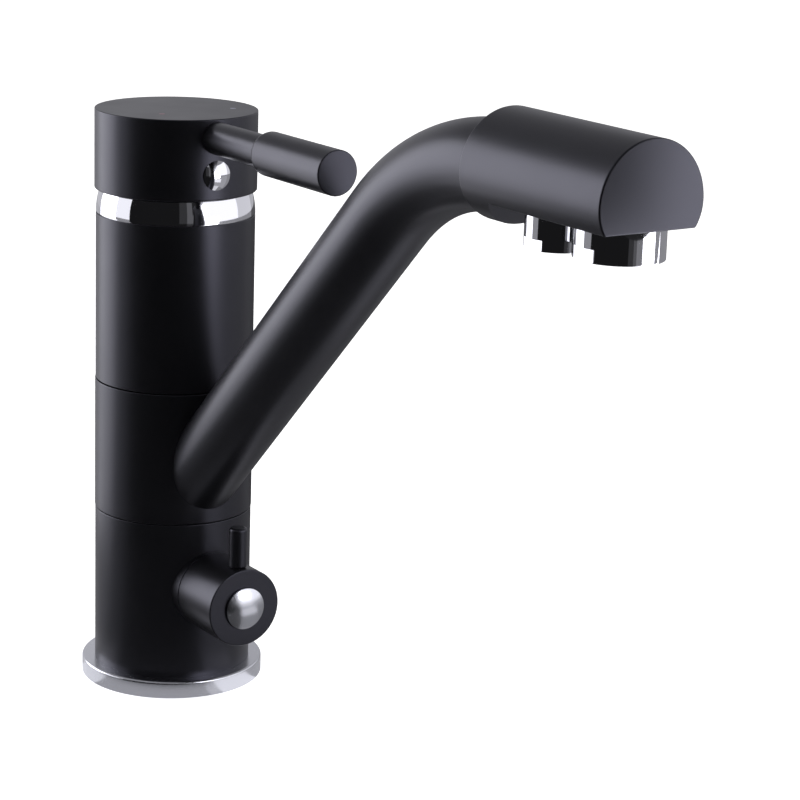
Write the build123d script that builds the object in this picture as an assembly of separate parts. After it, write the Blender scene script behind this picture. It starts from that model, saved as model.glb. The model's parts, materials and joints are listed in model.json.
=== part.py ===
from build123d import *
import math
import os

# A worktop filter tap: a single-lever mixer with a swivel spout, and a quarter-turn
# valve on its body that sends filtered water to a second outlet under the spout head.
# Origin: the middle of the base's underside, which rests on the worktop. +Z is up, and
# the spout, the lever and the valve point to -Y. Lengths are in millimetres.

# Body column
body_radius = 25.0
sleeve_stand = 0.15
base_overhang = 4.15
base_height = 5.55
lower_top = 56.45
sleeve_height = 42.3
body_top = 151.85
seam_gap = 0.3
base_edge = 0.8
body_edge = 0.25
spigot_inset = 3.5
spigot_lift = 0.6
gasket_height = 1.5
gasket_width = 3.6
gasket_rim = 1.65

# Pillar that the spout turns on, and the waterways in the casting
pillar_share = 0.72
sleeve_clearance = 0.3
fit_clearance = 0.05
seal_section = 2.4
seal_low_rise = 9.55
seal_high_share = 0.8641
glide_bush_wall = 2.0
glide_flange_width = 4.0
glide_flange = 1.3
glide_bush = 3.0
filter_rise_share = 0.742
filter_groove = 3.6
filter_seal_gap = 3.8
mixed_level_share = 0.4507
mixed_groove_share = 0.662
groove_depth = 1.8
hose_port_radius = 4.5
hose_port_depth = 13.0
supply_share = 0.464
supply_radius = 3.0
filter_port_share = 0.46
filter_way_radius = 2.0
filter_way_inset = 4.0
mixed_way_offset = 3.0
mixed_way_radius = 3.4
mixed_port_radius = 3.8
stud_radius = 3.4
stud_depth = 14.0
stud_across_share = 0.4
stud_front_share = 0.48

# Ceramic cartridge
column_wall = 5.0
shoulder_level = 146.0
tip_drop = 12.25
tip_radius = 2.4
shank_radius = 1.3
coupler_share = 0.35
coupler_height = 3.6
disc_thick = 3.6
disc_proud = 0.6
base_thick = 7.0
fixed_disc_share = 0.775
moving_disc_share = 0.66
inlet_offset_share = 0.318
inlet_radius = 1.9
outlet_radius = 2.5
pocket_share = 0.31
pocket_depth = 1.8
tip_recess = 0.8
port_seal_inner = 3.4
port_seal_outer = 4.8
port_seal_height = 1.2
slot_depth = 1.8
housing_wall = 1.6
housing_roof = 1.6
neck_share = 0.71
neck_rise = 5.15
rotor_share = 0.895
rotor_neck_share = 0.55
rotor_stand = 0.3
rotor_slot_share = 0.78
pivot_radius = 1.5
pivot_inset = 0.4
stem_side = 8.0
stem_drop = 6.6
nut_width = 2.2
nut_height = 5.5
nut_clearance = 0.1
nut_spigot_inset = 1.5

# Dome ring and handle
dome_groove = 0.45
dome_groove_depth = 0.6
dome_wall = 2.0
cap_stand = 0.45
cap_rise_share = 0.306
cap_crown = 7.35
cap_gap = 0.4
cap_edge = 0.35
cap_skirt_edge = 0.5
hub_radius = 9.0
hub_rise = 3.5
lever_drop = 5.85
lever_radius = 5.0
lever_seat = 16.0
grip_start = 55.3
grip_end = 93.2
grip_radius = 6.7
grip_edge = 0.3
grip_tail_radius = 3.6
grip_tail = 12.0
index_rise = 7.8
index_radius = 4.6
index_depth = 2.2
index_stand = 1.3
index_edge = 0.4
index_dish = 3.3
index_dish_depth = 0.9
set_screw_radius = 2.5
hex_socket_radius = 1.4
hex_socket_depth = 2.6
hex_sides = 6

# Spout
root_drop = 2.48
spout_angle = 44.2
tube_radius = 12.4
tube_wall = 1.5
tube_start = 8.0
tube_seat_wall = 2.7
bend_radius = 78.0
head_level = 193.1
head_length = 57.7
head_radius = 16.15
head_belly = 13.8
head_edge = 0.35
flat_drop = 6.8
flat_start_share = 0.1802
ramp_share = 0.0953
flat_edge = 0.8
socket_depth_share = 0.1386
duct_radius = 5.0
duct_rise = 8.6
main_setback_share = 0.2036
outlet_pitch_share = 0.4246
main_radius = 11.57
main_reach = 8.25
main_flats = 10.9
main_flats_height = 3.45
main_jet_radius = 1.1
filter_radius = 8.7
filter_reach = 10.1
filter_flats = 7.85
filter_flats_height = 2.9
filter_jet_radius = 0.9
outlet_wall = 1.9
thread_step = 0.75
thread_height = 4.6
outlet_seal = 0.7
insert_recess = 0.8
insert_height = 5.5
jet_ring_share = 0.62
jet_count = 8
chamber_radius = 3.0
chamber_height = 2.5

# Filtered-water line inside the spout
line_radius = 2.2
line_bore = 1.4
line_start_gap = 0.3
line_bend = 3.2
line_drop = 0.5
line_plug_share = 0.0693

# Filter valve
valve_level = 34.3
knob_radius = 12.37
knob_end = 45.7
boss_end = 25.6
valve_bore_radius = 7.5
valve_bore_end = 4.0
valve_seal = 1.0
valve_inlet_radius = 3.0
headwork_bore = 6.0
valve_disc = 2.4
valve_hole_offset = 3.0
valve_hole_radius = 1.7
headwork_throat = 17.0
headwork_flange_radius = 9.5
headwork_flange = 2.8
headwork_neck_radius = 5.5
headwork_end = 33.6
spindle_radius = 3.0
spindle_flange = 1.6
spindle_end = 39.5
spindle_seal_reach = 20.5
spindle_seal_section = 1.5
knob_cavity_radius = 10.2
knob_cavity_end = 34.4
knob_edge = 0.35
knob_web_end = 41.2
pin_radius = 2.85
pin_reach = 41.4
pin_stand = 0.25
pin_shank = 1.5
pin_height = 12.8
pin_seat = 4.2
pin_edge = 0.9
button_radius = 6.65
button_stand = 0.9
button_dome = 1.7
screw_radius = 1.5
screw_length = 8.0
screw_head_radius = 2.9
screw_head = 1.7

BASE = (Align.CENTER, Align.CENTER, Align.MIN)

pieces = {}
moving_gap = 2 * fit_clearance
sleeve_top = lower_top + sleeve_height
sleeve_radius = body_radius + sleeve_stand
base_radius = body_radius + base_overhang
spigot_radius = body_radius - spigot_inset
gasket_outer = base_radius - gasket_rim
gasket_inner = gasket_outer - gasket_width
filter_level = lower_top + body_radius * filter_rise_share
seal_low = lower_top + seal_low_rise
seal_middle = filter_level + filter_seal_gap
seal_high = lower_top + sleeve_height * seal_high_share
mixed_level = seal_middle + (seal_high - seal_middle) * mixed_level_share
mixed_groove = (seal_high - seal_middle) * mixed_groove_share
pillar_radius = body_radius * pillar_share
glide_bush_radius = pillar_radius + glide_bush_wall
glide_flange_radius = pillar_radius + glide_flange_width
groove_radius = pillar_radius - groove_depth
filter_way_offset = pillar_radius - filter_way_inset
supply_offset = body_radius * supply_share
filter_port_offset = body_radius * filter_port_share
stud_x = body_radius * stud_across_share
stud_y = body_radius * stud_front_share
cartridge_radius = body_radius - column_wall
nut_radius = cartridge_radius + nut_width
nut_spigot_radius = cartridge_radius - nut_spigot_inset
neck_radius = cartridge_radius * neck_share
rotor_radius = cartridge_radius * rotor_share
rotor_neck_radius = cartridge_radius * rotor_neck_share
rotor_slot = cartridge_radius * rotor_slot_share
pivot_length = 2 * (rotor_neck_radius - pivot_inset)
coupler_radius = cartridge_radius * coupler_share
fixed_disc_radius = cartridge_radius * fixed_disc_share
moving_disc_radius = cartridge_radius * moving_disc_share
inlet_offset = cartridge_radius * inlet_offset_share
pocket_radius = cartridge_radius * pocket_share
cap_radius = body_radius + cap_stand
cap_bottom = body_top + body_radius * cap_rise_share
cap_top = body_top + body_radius + cap_gap + cap_crown
hub_bottom = cap_bottom + hub_rise
stem_top = cap_top - stem_drop
lever_level = cap_top - lever_drop
index_level = cap_bottom + index_rise
sleeve_bore = pillar_radius + sleeve_clearance
tube_seat = sleeve_bore + tube_seat_wall
line_start = sleeve_bore + line_start_gap
socket_depth = head_length * socket_depth_share
line_plug = head_length * line_plug_share
sleeve_low = lower_top + seam_gap / 2
sleeve_high = sleeve_top - seam_gap / 2
casting_top = lower_top - seam_gap / 2
collar_low = sleeve_top + seam_gap / 2
beyond = base_radius * 2
half_turn = 180
rise = math.radians(spout_angle)


def bar(radius, start, end):
    return Pos(0, 0, start) * Cylinder(radius, end - start, align=BASE)


def ring(outer, inner, start, end):
    return bar(outer, start, end) - bar(inner, start, end)


def ball(radius, level):
    return Pos(0, 0, level) * Sphere(radius)


def bar_at(x, y, radius, start, end):
    return Pos(x, y, 0) * bar(radius, start, end)


def block(width, depth, start, end):
    return Pos(0, 0, start) * Box(width, depth, end - start, align=BASE)


def front(level):
    # A piece made along +Z then runs to the front, along -Y, at this level.
    return Location(Plane(origin=(0, 0, level), x_dir=(1, 0, 0), z_dir=(0, -1, 0)))


def slot_between(first, second, radius, start, end):
    # Two round ends joined by straight sides, between two levels.
    run = (Vector(second) - Vector(first)).length
    turn = math.degrees(math.atan2(second[1] - first[1], second[0] - first[0]))
    sides = Pos(*first, start) * Rot(0, 0, turn) * Pos(run / 2, 0, 0)
    web = sides * Box(run, 2 * radius, end - start, align=BASE)
    return web + bar_at(*first, radius, start, end) + bar_at(*second, radius, start, end)


def round_pipe(corners, bends, radius):
    # A round bar through corners in the middle plane, each given as reach and level.
    # An inner corner is turned with its own bend radius.
    spots = [Vector(0, -reach, level) for reach, level in corners]
    edges = []
    start = spots[0]
    for before, corner, after, bend in zip(spots, spots[1:], spots[2:], bends):
        come = (corner - before).normalized()
        leave = (after - corner).normalized()
        half = math.radians(come.get_angle(leave)) / 2
        first = corner - come * bend * math.tan(half)
        last = corner + leave * bend * math.tan(half)
        inward = (leave - come).normalized()
        middle = corner + inward * (bend / math.cos(half) - bend)
        edges += [Line(start, first), ThreePointArc(first, middle, last)]
        start = last
    edges.append(Line(start, spots[-1]))
    route = Wire(edges)
    mouth = Plane(origin=spots[0], z_dir=spots[1] - spots[0])
    return sweep(mouth * Circle(radius), path=route)


def rim(solid, level, size):
    # Softens the widest round edge at a level.
    edges = solid.edges().filter_by(GeomType.CIRCLE).filter_by_position(
        Axis.Z, level - fit_clearance, level + fit_clearance)
    return fillet(edges.sort_by(SortBy.RADIUS)[-1], size)


# Worktop ring with its gasket let into the underside
gasket = ring(gasket_outer, gasket_inner, 0, gasket_height)
flange = ring(base_radius, spigot_radius, 0, base_height)
pieces["base_ring"] = rim(flange, base_height, base_edge) - gasket
pieces["base_gasket"] = gasket

# Cartridge levels, counted down from the centre of the dome, where the lever tilts
centre = body_top
tip_level = centre - tip_drop
moving_top = tip_level - coupler_height / 2
moving_low = moving_top - disc_thick
fixed_top = moving_low - fit_clearance
fixed_low = fixed_top - disc_thick
cartridge_base_top = fixed_top - disc_proud
seat_level = cartridge_base_top - base_thick
neck_top = centre + neck_rise

# Painted casting: lower shell, valve boss, and the pillar with its waterways
shell = rim(bar(body_radius, base_height, casting_top), casting_top, body_edge)
casting = shell + bar(spigot_radius, spigot_lift, base_height)
casting += bar(pillar_radius, casting_top, seat_level)
casting += front(valve_level) * bar(knob_radius, 0, boss_end)
casting -= front(valve_level) * bar(valve_bore_radius, valve_bore_end, boss_end)
casting -= front(valve_level) * bar(valve_inlet_radius, -filter_port_offset, valve_bore_end)
casting -= bar_at(0, filter_port_offset, filter_way_radius, 0, valve_level)
casting -= bar_at(0, filter_port_offset, hose_port_radius, 0, hose_port_depth)
for side in (-1, 1):
    casting -= bar_at(side * supply_offset, 0, supply_radius, 0, seat_level)
    casting -= bar_at(side * supply_offset, 0, hose_port_radius, 0, hose_port_depth)
    casting -= bar_at(side * stud_x, -stud_y, stud_radius, 0, stud_depth)
casting -= bar_at(0, -filter_way_offset, filter_way_radius, valve_level, filter_level)
casting -= bar_at(0, -mixed_way_offset, mixed_way_radius, mixed_level, seat_level)
casting -= front(filter_level) * bar(filter_way_radius, filter_way_offset, pillar_radius)
casting -= front(mixed_level) * bar(mixed_way_radius, 0, pillar_radius)
for level, height in ((filter_level, filter_groove), (mixed_level, mixed_groove)):
    casting -= ring(beyond, groove_radius, level - height / 2, level + height / 2)

# O-rings that keep the filtered and the mixed chamber apart
seal_middle_radius = sleeve_bore - fit_clearance - seal_section / 2
seal_floor = seal_middle_radius - seal_section / 2
for name, level in (("low", seal_low), ("middle", seal_middle), ("high", seal_high)):
    casting -= ring(beyond, seal_floor, level - seal_section / 2, level + seal_section / 2)
    seal = Pos(0, 0, level) * Torus(seal_middle_radius, seal_section / 2)
    pieces[f"swivel_seal_{name}"] = seal

# Glide rings that carry the swivel sleeve between the two body shells
low_flange_top = sleeve_low - fit_clearance
high_flange_low = sleeve_high + fit_clearance
bush_outer = glide_bush_radius - fit_clearance
casting -= ring(glide_flange_radius, pillar_radius, low_flange_top - glide_flange, casting_top)
low_glide = ring(
    glide_flange_radius, pillar_radius, low_flange_top - glide_flange, low_flange_top)
low_glide += ring(bush_outer, pillar_radius, low_flange_top, low_flange_top + glide_bush)
high_glide = ring(
    glide_flange_radius, pillar_radius, high_flange_low, high_flange_low + glide_flange)
high_glide += ring(bush_outer, pillar_radius, high_flange_low - glide_bush, high_flange_low)
pieces["glide_ring_low"] = low_glide
pieces["glide_ring_high"] = high_glide
pieces["lower_body"] = casting

# Upper shell, screwed onto the pillar, with the cartridge in it
cartridge_bore = cartridge_radius + fit_clearance
nut_top = shoulder_level + nut_height
collar = rim(bar(body_radius, collar_low, body_top), body_top, body_edge)
collar -= bar(pillar_radius, collar_low, seat_level)
collar -= ring(glide_flange_radius, pillar_radius, collar_low, high_flange_low + glide_flange)
collar -= bar(cartridge_bore, seat_level, shoulder_level)
collar -= bar(nut_radius, shoulder_level, body_top)
pieces["upper_body"] = collar

# Cartridge base with its ports, seals and fixed disc
supplies = [(side * supply_offset, 0) for side in (-1, 1)]
inlets = [(side * inlet_offset, -inlet_offset) for side in (-1, 1)]
cartridge_base = bar(cartridge_radius, seat_level, cartridge_base_top)
cartridge_base -= bar(fixed_disc_radius, fixed_low, cartridge_base_top)
port_seals = []
for x, y in supplies + [(0, -mixed_way_offset)]:
    cartridge_base -= bar_at(x, y, supply_radius, seat_level, fixed_low)
    seal = Pos(x, y, 0) * ring(
        port_seal_outer, port_seal_inner, seat_level, seat_level + port_seal_height)
    cartridge_base -= seal
    port_seals.append(seal)
for supply, inlet in zip(supplies, inlets):
    cartridge_base -= slot_between(
        supply, inlet, inlet_radius, fixed_low - slot_depth, fixed_low)
pieces["cartridge_base"] = cartridge_base
pieces["cartridge_seals"] = Compound(children=port_seals)
fixed_disc = bar(fixed_disc_radius, fixed_low, fixed_top)
fixed_disc -= bar(outlet_radius, fixed_low, fixed_top)
for x, y in inlets:
    fixed_disc -= bar_at(x, y, inlet_radius, fixed_low, fixed_top)
pieces["fixed_disc"] = fixed_disc

# Moving disc: its pocket joins the inlets to the outlet as the lever slides it forward
moving_disc = bar(moving_disc_radius, moving_low, moving_top)
moving_disc -= bar(pocket_radius, moving_low, moving_low + pocket_depth)
moving_disc -= bar(tip_radius + moving_gap, moving_top - tip_recess, moving_top)
coupler = ring(
    coupler_radius, tip_radius + moving_gap, moving_top, moving_top + coupler_height)
pieces["moving_disc"] = moving_disc
pieces["disc_coupler"] = coupler

# Cartridge housing, and the rotor in it that holds the lever's pivot pin
roof_low = shoulder_level - housing_roof
housing = bar(cartridge_radius, cartridge_base_top, shoulder_level)
housing -= bar(cartridge_radius - housing_wall, cartridge_base_top, roof_low)
housing += bar(neck_radius, shoulder_level, neck_top)
housing -= bar(rotor_neck_radius + fit_clearance, roof_low, neck_top)
pieces["cartridge_housing"] = housing
rotor_low = moving_top + coupler_height + rotor_stand
rotor = bar(rotor_radius, rotor_low, roof_low - moving_gap)
rotor += bar(rotor_neck_radius, rotor_low, neck_top + rotor_stand)
rotor -= block(stem_side + moving_gap, rotor_slot, rotor_low, neck_top + rotor_stand)
pivot = Pos(0, 0, centre) * Rot(0, 90, 0) * Cylinder(pivot_radius, pivot_length)
pieces["rotor"] = rotor - pivot
pieces["pivot_pin"] = pivot
nut = bar(nut_radius, shoulder_level, nut_top) + bar(nut_spigot_radius, nut_top, neck_top)
pieces["cartridge_nut"] = nut - bar(neck_radius + nut_clearance, shoulder_level, neck_top)

# Chrome dome ring, a ball zone about the lever's tilt centre
dome = ball(body_radius, centre) & bar(beyond, body_top, cap_top)
dome -= ball(body_radius - dome_wall, centre) & bar(beyond, neck_top, cap_top)
dome -= bar(nut_spigot_radius, body_top, cap_top)
dome -= ring(beyond, body_radius - dome_groove_depth, body_top, body_top + dome_groove)
pieces["dome_ring"] = dome

# Lever stem of the cartridge, square in the handle and round at its tip
stem = block(stem_side, stem_side, centre - stem_side / 2, stem_top)
stem += Pos(0, 0, tip_level) * Cone(
    shank_radius, stem_side / 2, tip_drop - stem_side / 2, align=BASE)
stem += ball(tip_radius, tip_level)
eye = Pos(0, 0, centre) * Rot(0, 90, 0) * Cylinder(pivot_radius + fit_clearance, stem_side)
pieces["cartridge_stem"] = stem - eye

# Handle cap: a drum hollowed as a ball zone, with a hub for the stem
cap = rim(bar(cap_radius, cap_bottom, cap_top), cap_top, cap_edge)
cap = rim(cap, cap_bottom, cap_skirt_edge)
cap -= ball(body_radius + cap_gap, centre)
cap += bar(hub_radius, hub_bottom, stem_top)
cap -= block(stem_side, stem_side, hub_bottom, stem_top)
cap -= front(lever_level) * bar(lever_radius, lever_seat, cap_radius)
index_seat = cap_radius - index_depth
cap -= front(index_level) * bar(index_radius, index_seat, cap_radius)
cap -= front(index_level) * bar(set_screw_radius, stem_side / 2, index_seat)
pieces["handle_cap"] = cap
set_screw = bar(set_screw_radius, stem_side / 2, hub_radius)
socket = RegularPolygon(hex_socket_radius, hex_sides)
set_screw -= Pos(0, 0, hub_radius - hex_socket_depth) * extrude(socket, hex_socket_depth)
pieces["handle_set_screw"] = front(index_level) * set_screw

# Lever rod, its thicker grip, and the chrome plug over the set screw
rod = bar(lever_radius, lever_seat, grip_start)
rod += bar(grip_tail_radius, grip_start, grip_start + grip_tail)
pieces["lever_rod"] = front(lever_level) * rod
grip = rim(bar(grip_radius, grip_start, grip_end), grip_end, grip_edge)
grip = rim(grip, grip_start, grip_radius - lever_radius)
grip -= bar(grip_tail_radius, grip_start, grip_start + grip_tail)
pieces["lever_grip"] = front(lever_level) * grip
plug_face = cap_radius + index_stand
plug = rim(bar(index_radius, index_seat, plug_face), plug_face, index_edge)
dish = (index_dish ** 2 + index_dish_depth ** 2) / (2 * index_dish_depth)
plug -= ball(dish, plug_face + dish - index_dish_depth)
pieces["index_plug"] = front(index_level) * plug

# Spout tube: up from the sleeve at the rise angle, then level into the head
spout_root = lower_top - root_drop
corner = (head_level - spout_root) / math.tan(rise)
head_back = corner + bend_radius * math.tan(rise / 2)
tube_end = head_back + socket_depth
tube_mouth = (tube_start, spout_root + tube_start * math.tan(rise))
tube_route = (tube_mouth, (corner, head_level), (tube_end, head_level))
tube_solid = round_pipe(tube_route, [bend_radius], tube_radius)
tube_solid -= bar(tube_seat, 0, cap_top)
tube_bore = round_pipe(tube_route, [bend_radius], tube_radius - tube_wall)
pieces["spout_tube"] = tube_solid - tube_bore

# Swivel sleeve with the saddle for the tube and its two ports
sleeve = rim(bar(sleeve_radius, sleeve_low, sleeve_high), sleeve_high, body_edge)
sleeve = rim(sleeve, sleeve_low, body_edge)
sleeve -= bar(sleeve_bore, sleeve_low, sleeve_high)
bush_seat = glide_bush + seam_gap
sleeve -= bar(glide_bush_radius, sleeve_low, sleeve_low + bush_seat)
sleeve -= bar(glide_bush_radius, sleeve_high - bush_seat, sleeve_high)
sleeve -= tube_solid
sleeve -= front(mixed_level) * bar(mixed_port_radius, pillar_radius, tube_seat)
sleeve -= front(filter_level) * bar(line_radius, pillar_radius, tube_seat)
pieces["swivel_sleeve"] = sleeve

# Filtered-water line, from its port in the sleeve to its plug in the head
line_level = head_level - line_drop
line_root = spout_root - line_drop / math.cos(rise)
line_route = (
    (line_start, filter_level),
    ((filter_level - line_root) / math.tan(rise), filter_level),
    ((line_level - line_root) / math.tan(rise), line_level),
    (tube_end + line_plug, line_level),
)
line_bends = [line_bend, bend_radius - line_drop]
line = round_pipe(line_route, line_bends, line_radius)
pieces["filter_line"] = line - round_pipe(line_route, line_bends, line_bore)

# Spout head: round above, a little shallower below, cut flat for the outlets
head_end = head_back + head_length
flat_level = head_level - flat_drop
flat_start = head_length * flat_start_share
main_reach_out = head_end - head_length * main_setback_share
filter_reach_out = main_reach_out - head_length * outlet_pitch_share
outline = make_face([
    CenterArc((0, 0), head_radius, 0, half_turn),
    EllipticalCenterArc((0, 0), head_radius, head_belly, half_turn, arc_size=half_turn),
])
kept = Rectangle(2 * head_radius, 2 * head_radius, align=(Align.CENTER, Align.MIN))
cut_outline = outline & Pos(0, -flat_drop) * kept
low_corners = cut_outline.vertices().sort_by(Axis.Y)[:2]
cut_outline = fillet(low_corners, flat_edge)
head = extrude(outline, flat_start)
head += Pos(0, 0, flat_start) * extrude(cut_outline, head_length - flat_start)
ramp_run = head_length * ramp_share * 2
ramp_low = flat_drop + 2 * (head_belly - flat_drop)
ramp = make_face(Polyline(
    (flat_start, -flat_drop), (flat_start - ramp_run, -ramp_low),
    (flat_start + ramp_run, -ramp_low), (flat_start + ramp_run, -flat_drop), close=True))
head -= Rot(0, -90, 0) * extrude(ramp, head_radius, both=True)
head = front(head_level) * Pos(0, 0, head_back) * head
end_faces = head.faces().filter_by(Axis.Y).sort_by(Axis.Y)
head = chamfer(end_faces[0].edges() + end_faces[-1].edges(), head_edge)
head -= front(head_level) * bar(tube_radius, head_back, tube_end)
duct_level = head_level + duct_rise
head -= front(duct_level) * bar(duct_radius, tube_end, main_reach_out + duct_radius)
head -= front(line_level) * bar(line_radius, tube_end, tube_end + line_plug)
head -= front(line_level) * bar(line_bore, tube_end, filter_reach_out)
pocket_top = flat_level + thread_height + outlet_seal
head -= bar_at(0, -main_reach_out, duct_radius, pocket_top, duct_level)
head -= bar_at(0, -filter_reach_out, chamber_radius, pocket_top, pocket_top + chamber_height)
for name, reach_out, radius, drop, flats, flats_height, jet in (
    ("main", main_reach_out, main_radius, main_reach, main_flats, main_flats_height,
     main_jet_radius),
    ("filter", filter_reach_out, filter_radius, filter_reach, filter_flats,
     filter_flats_height, filter_jet_radius),
):
    # Screwed-in outlet: spigot, seal, wrench flats, and a flow insert up inside
    place = Pos(0, -reach_out, 0)
    low = flat_level - drop
    thread = radius - thread_step
    thread_top = flat_level + thread_height
    bore = radius - outlet_wall
    head -= place * bar(thread, flat_level, pocket_top)
    housing = bar(radius, low, flat_level) + bar(thread, flat_level, thread_top)
    for side in (-1, 1):
        housing -= Pos(side * (flats + radius / 2), 0, 0) * block(
            radius, beyond, low, low + flats_height)
    insert_low = low + insert_recess
    insert_top = insert_low + insert_height
    housing -= bar(bore, low, insert_top)
    housing -= bar(bore - thread_step, insert_top, thread_top)
    insert = bar(bore, insert_low, insert_top)
    holes = PolarLocations(bore * jet_ring_share, jet_count).locations + [Location((0, 0, 0))]
    insert -= [hole * bar(jet, insert_low, insert_top) for hole in holes]
    pieces[f"{name}_outlet"] = place * housing
    pieces[f"{name}_insert"] = place * insert
    pieces[f"{name}_outlet_seal"] = place * ring(
        thread, bore - thread_step, thread_top, pocket_top)
pieces["spout_head"] = head

# Filter valve headwork in the boss, with its seal and fixed disc
valve = front(valve_level)
seat_end = valve_bore_end + valve_seal
headwork = bar(valve_bore_radius, seat_end, boss_end)
headwork += bar(headwork_flange_radius, boss_end, boss_end + headwork_flange)
headwork += bar(headwork_neck_radius, boss_end + headwork_flange, headwork_end)
headwork -= bar(headwork_bore, seat_end, headwork_throat)
headwork -= bar(spindle_radius + fit_clearance, headwork_throat, headwork_end)
spindle_ring = spindle_radius + fit_clearance + spindle_seal_section / 2
headwork -= ring(
    spindle_ring + spindle_seal_section / 2, spindle_radius,
    spindle_seal_reach - spindle_seal_section / 2, spindle_seal_reach + spindle_seal_section / 2)
window = Pos(0, 0, filter_way_offset) * Rot(90, 0, 0) * bar(filter_way_radius, 0, beyond)
headwork -= window
pieces["valve_headwork"] = valve * headwork
pieces["spindle_seal"] = valve * Pos(0, 0, spindle_seal_reach) * Torus(
    spindle_ring, spindle_seal_section / 2)
pieces["valve_seat_seal"] = valve * ring(
    valve_bore_radius, valve_inlet_radius, valve_bore_end, seat_end)
valve_holes = [(side * valve_hole_offset, 0) for side in (-1, 1)]
valve_disc_top = seat_end + valve_disc
valve_fixed = bar(headwork_bore, seat_end, valve_disc_top)
for x, y in valve_holes:
    valve_fixed -= bar_at(x, y, valve_hole_radius, seat_end, valve_disc_top)
pieces["valve_fixed_disc"] = valve * valve_fixed

# Spindle and turning disc: a quarter turn brings the holes over each other
turning_low = valve_disc_top + fit_clearance
turning_top = turning_low + valve_disc
turning_radius = headwork_bore - fit_clearance
turning = bar(turning_radius, turning_low, turning_top)
spindle = bar(turning_radius, turning_top, turning_top + spindle_flange)
for x, y in valve_holes:
    turning -= bar_at(y, x, valve_hole_radius, turning_low, turning_top)
    spindle -= bar_at(
        y, x + math.copysign(valve_hole_radius, x), valve_hole_radius * 2,
        turning_top, turning_top + spindle_flange)
spindle += bar(spindle_radius, turning_top, spindle_end)
spindle -= bar(screw_radius, knob_web_end - screw_length, spindle_end)
pieces["valve_turning_disc"] = valve * turning
pieces["valve_spindle"] = valve * spindle

# Knob drum with its pin, screw and chrome button
knob_low = boss_end + seam_gap
knob = rim(bar(knob_radius, knob_low, knob_end), knob_end, knob_edge)
knob -= bar(knob_cavity_radius, knob_low, knob_cavity_end)
knob -= bar(spindle_radius, knob_cavity_end, spindle_end)
knob -= bar(screw_radius, spindle_end, knob_web_end)
knob -= bar(button_radius, knob_web_end, knob_end)
pin_foot = valve_level + knob_radius - pin_stand
pin_top = valve_level + knob_radius + pin_height
pin = rim(bar(pin_radius, pin_foot, pin_top), pin_top, pin_edge)
pin = rim(pin, pin_foot, pin_edge)
pin += bar(pin_shank, pin_foot - pin_seat, pin_foot + pin_edge)
pin = Pos(0, -pin_reach, 0) * pin
pieces["valve_knob"] = valve * knob - pin
pieces["valve_pin"] = pin
head_low = knob_web_end
screw = bar(screw_radius, head_low - screw_length, head_low)
screw += bar(screw_head_radius, head_low, head_low + screw_head)
slot = block(2 * screw_head_radius, screw_radius / 2, head_low + screw_head / 2, knob_end)
pieces["knob_screw"] = valve * (screw - slot)
button_end = knob_end + button_stand
button = bar(button_radius, head_low, button_end)
dome_ball = (button_radius ** 2 + button_dome ** 2) / (2 * button_dome)
button += ball(dome_ball, button_end + button_dome - dome_ball) & bar(
    beyond, button_end, button_end + button_dome)
button -= bar(screw_head_radius + seam_gap, head_low, head_low + screw_head + seam_gap)
pieces["valve_button"] = valve * button

os.makedirs("parts", exist_ok=True)
for name, piece in pieces.items():
    export_step(piece, f"parts/{name}.step")
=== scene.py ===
import json
import math

import bmesh
import bpy
import numpy as np
from mathutils import Matrix


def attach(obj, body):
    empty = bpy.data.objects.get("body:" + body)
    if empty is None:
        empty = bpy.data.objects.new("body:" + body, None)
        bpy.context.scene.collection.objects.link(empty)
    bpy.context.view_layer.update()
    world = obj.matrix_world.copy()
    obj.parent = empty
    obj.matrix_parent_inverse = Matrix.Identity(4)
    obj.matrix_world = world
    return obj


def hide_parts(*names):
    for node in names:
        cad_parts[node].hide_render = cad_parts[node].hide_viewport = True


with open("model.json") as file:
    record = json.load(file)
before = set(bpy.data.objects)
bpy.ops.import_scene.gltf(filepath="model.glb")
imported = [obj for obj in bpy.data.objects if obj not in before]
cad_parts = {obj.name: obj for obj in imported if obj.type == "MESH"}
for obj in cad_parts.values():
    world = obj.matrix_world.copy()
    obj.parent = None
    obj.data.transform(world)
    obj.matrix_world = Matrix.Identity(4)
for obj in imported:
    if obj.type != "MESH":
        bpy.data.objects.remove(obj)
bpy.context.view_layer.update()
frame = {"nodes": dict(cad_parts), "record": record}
print("frame loaded")

mm = 0.001  # sizes of the pieces are in millimetres, Blender's are in metres
columnTurns = 192  # points round a piece of the column
smallTurns = 128  # points round the lever, the index plug and the valve button
weldGap = 1e-7  # points of a mesh closer than this, in metres, become one
creaseAngle = 32  # an edge that bends by more than this, in degrees, stays sharp


def unit(vector):
    # A vector over its own length.
    return vector / np.linalg.norm(vector)


def circle(turns):
    # Angles that share one full turn evenly.
    return np.arange(turns) * 2 * math.pi / turns


def toLinear(hexColour):
    # sRGB hex to linear light: the power curve, with its straight part near black.
    levels = np.array([int(hexColour[i:i + 2], 16) for i in (1, 3, 5)]) / 255
    curve = np.where(levels <= 0.04045, levels / 12.92, ((levels + 0.055) / 1.055) ** 2.4)
    return (*curve.tolist(), 1.0)


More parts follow.
